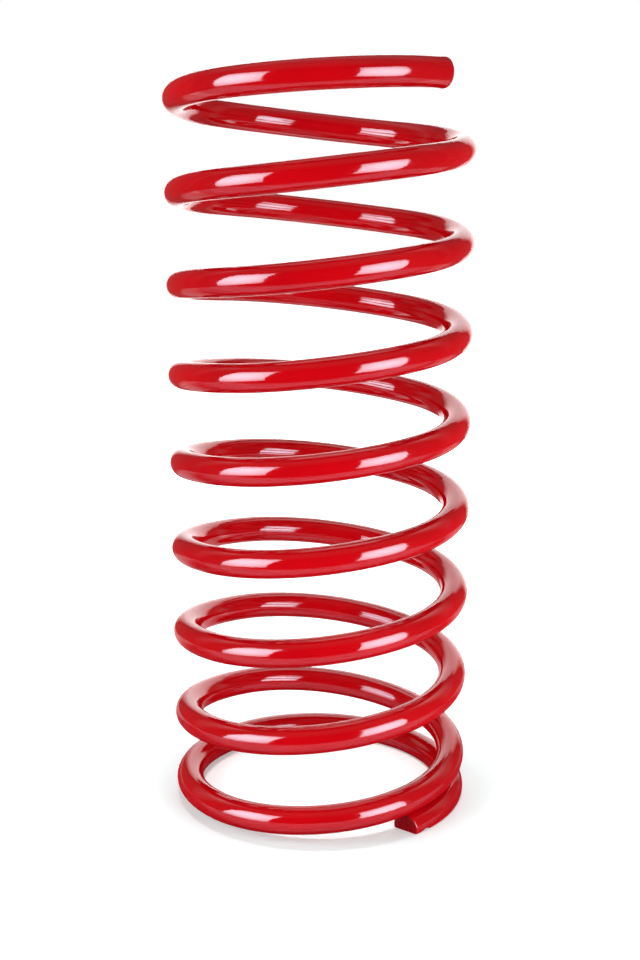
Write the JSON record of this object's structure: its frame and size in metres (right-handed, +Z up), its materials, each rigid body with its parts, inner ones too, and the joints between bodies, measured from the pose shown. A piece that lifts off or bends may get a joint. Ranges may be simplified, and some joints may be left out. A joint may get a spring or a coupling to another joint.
{
  "type": "suspension coil spring",
  "caption": "Cylindrical compression coil spring of coated round steel bar, closed and ground flat at the lower end and open with a plain cut at the upper end, for a vehicle suspension.",
  "frame": {"origin": "on the coil axis, in the plane of the ground lower face", "axes": "+Z up along the coil axis towards the open end; the lower tip points to the front right, and -Y is the side the picture shows"},
  "size_m": [0.143, 0.1431, 0.351],
  "materials": {
    "red_powder_coat": "glossy powder coat with a faint orange peel"
  },
  "bodies": {
    "root": {"coil_spring": "red_powder_coat"}
  },
  "joints": []
}
